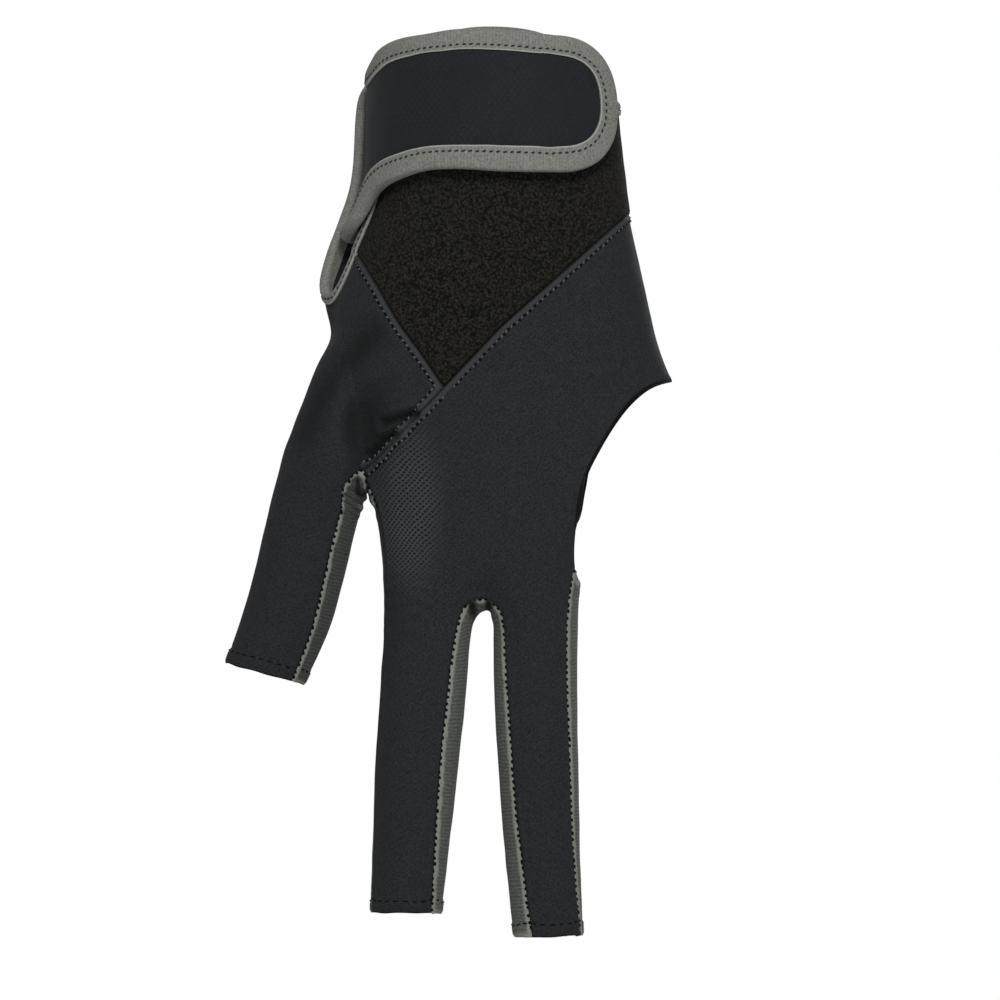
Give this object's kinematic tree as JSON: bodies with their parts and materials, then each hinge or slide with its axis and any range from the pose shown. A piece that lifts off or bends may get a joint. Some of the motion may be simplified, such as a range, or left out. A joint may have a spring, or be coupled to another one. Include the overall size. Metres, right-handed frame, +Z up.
{
  "type": "billiard glove",
  "caption": "Stretch billiard glove for the left hand in its worn shape: covered thumb and fingers with open tips, side opening, grey gussets and a closed wrist strap.",
  "frame": {"origin": "middle of the wrist hollow, inside the strap, where the glove is held up", "axes": "+Z up the forearm, fingers down; -Y the way the back of the hand faces; +X from the thumb's side to the little finger's side"},
  "size_m": [0.103, 0.0469, 0.2101],
  "materials": {
    "back_panel": "black stretch knit, matt, index, middle and back of the hand",
    "thumb_panel": "black stretch knit, matt, back of the thumb",
    "loop_patch": "black brushed loop pile that the strap's hooks hold",
    "palm_panel": "black stretch knit, matt, palm side and flap",
    "thumb_index_gusset": "grey fine knit with light edges by the seams",
    "index_middle_gusset": "grey fine knit with light edges by the seams",
    "middle_outer_gusset": "grey fine knit with light edges by the seams",
    "wrist_strap": "black strap cloth with a fine slanting weave, bare of print",
    "strap_binding": "grey ribbed woven tape, stitched on",
    "wrist_binding": "grey ribbed woven tape, stitched on"
  },
  "bodies": {
    "root": {"back_panel": "back_panel", "thumb_panel": "thumb_panel", "loop_patch": "loop_patch", "palm_panel": "palm_panel", "thumb_index_gusset": "thumb_index_gusset", "index_middle_gusset": "index_middle_gusset", "middle_outer_gusset": "middle_outer_gusset", "wrist_strap": "wrist_strap", "strap_binding": "strap_binding", "wrist_binding": "wrist_binding"}
  },
  "joints": []
}
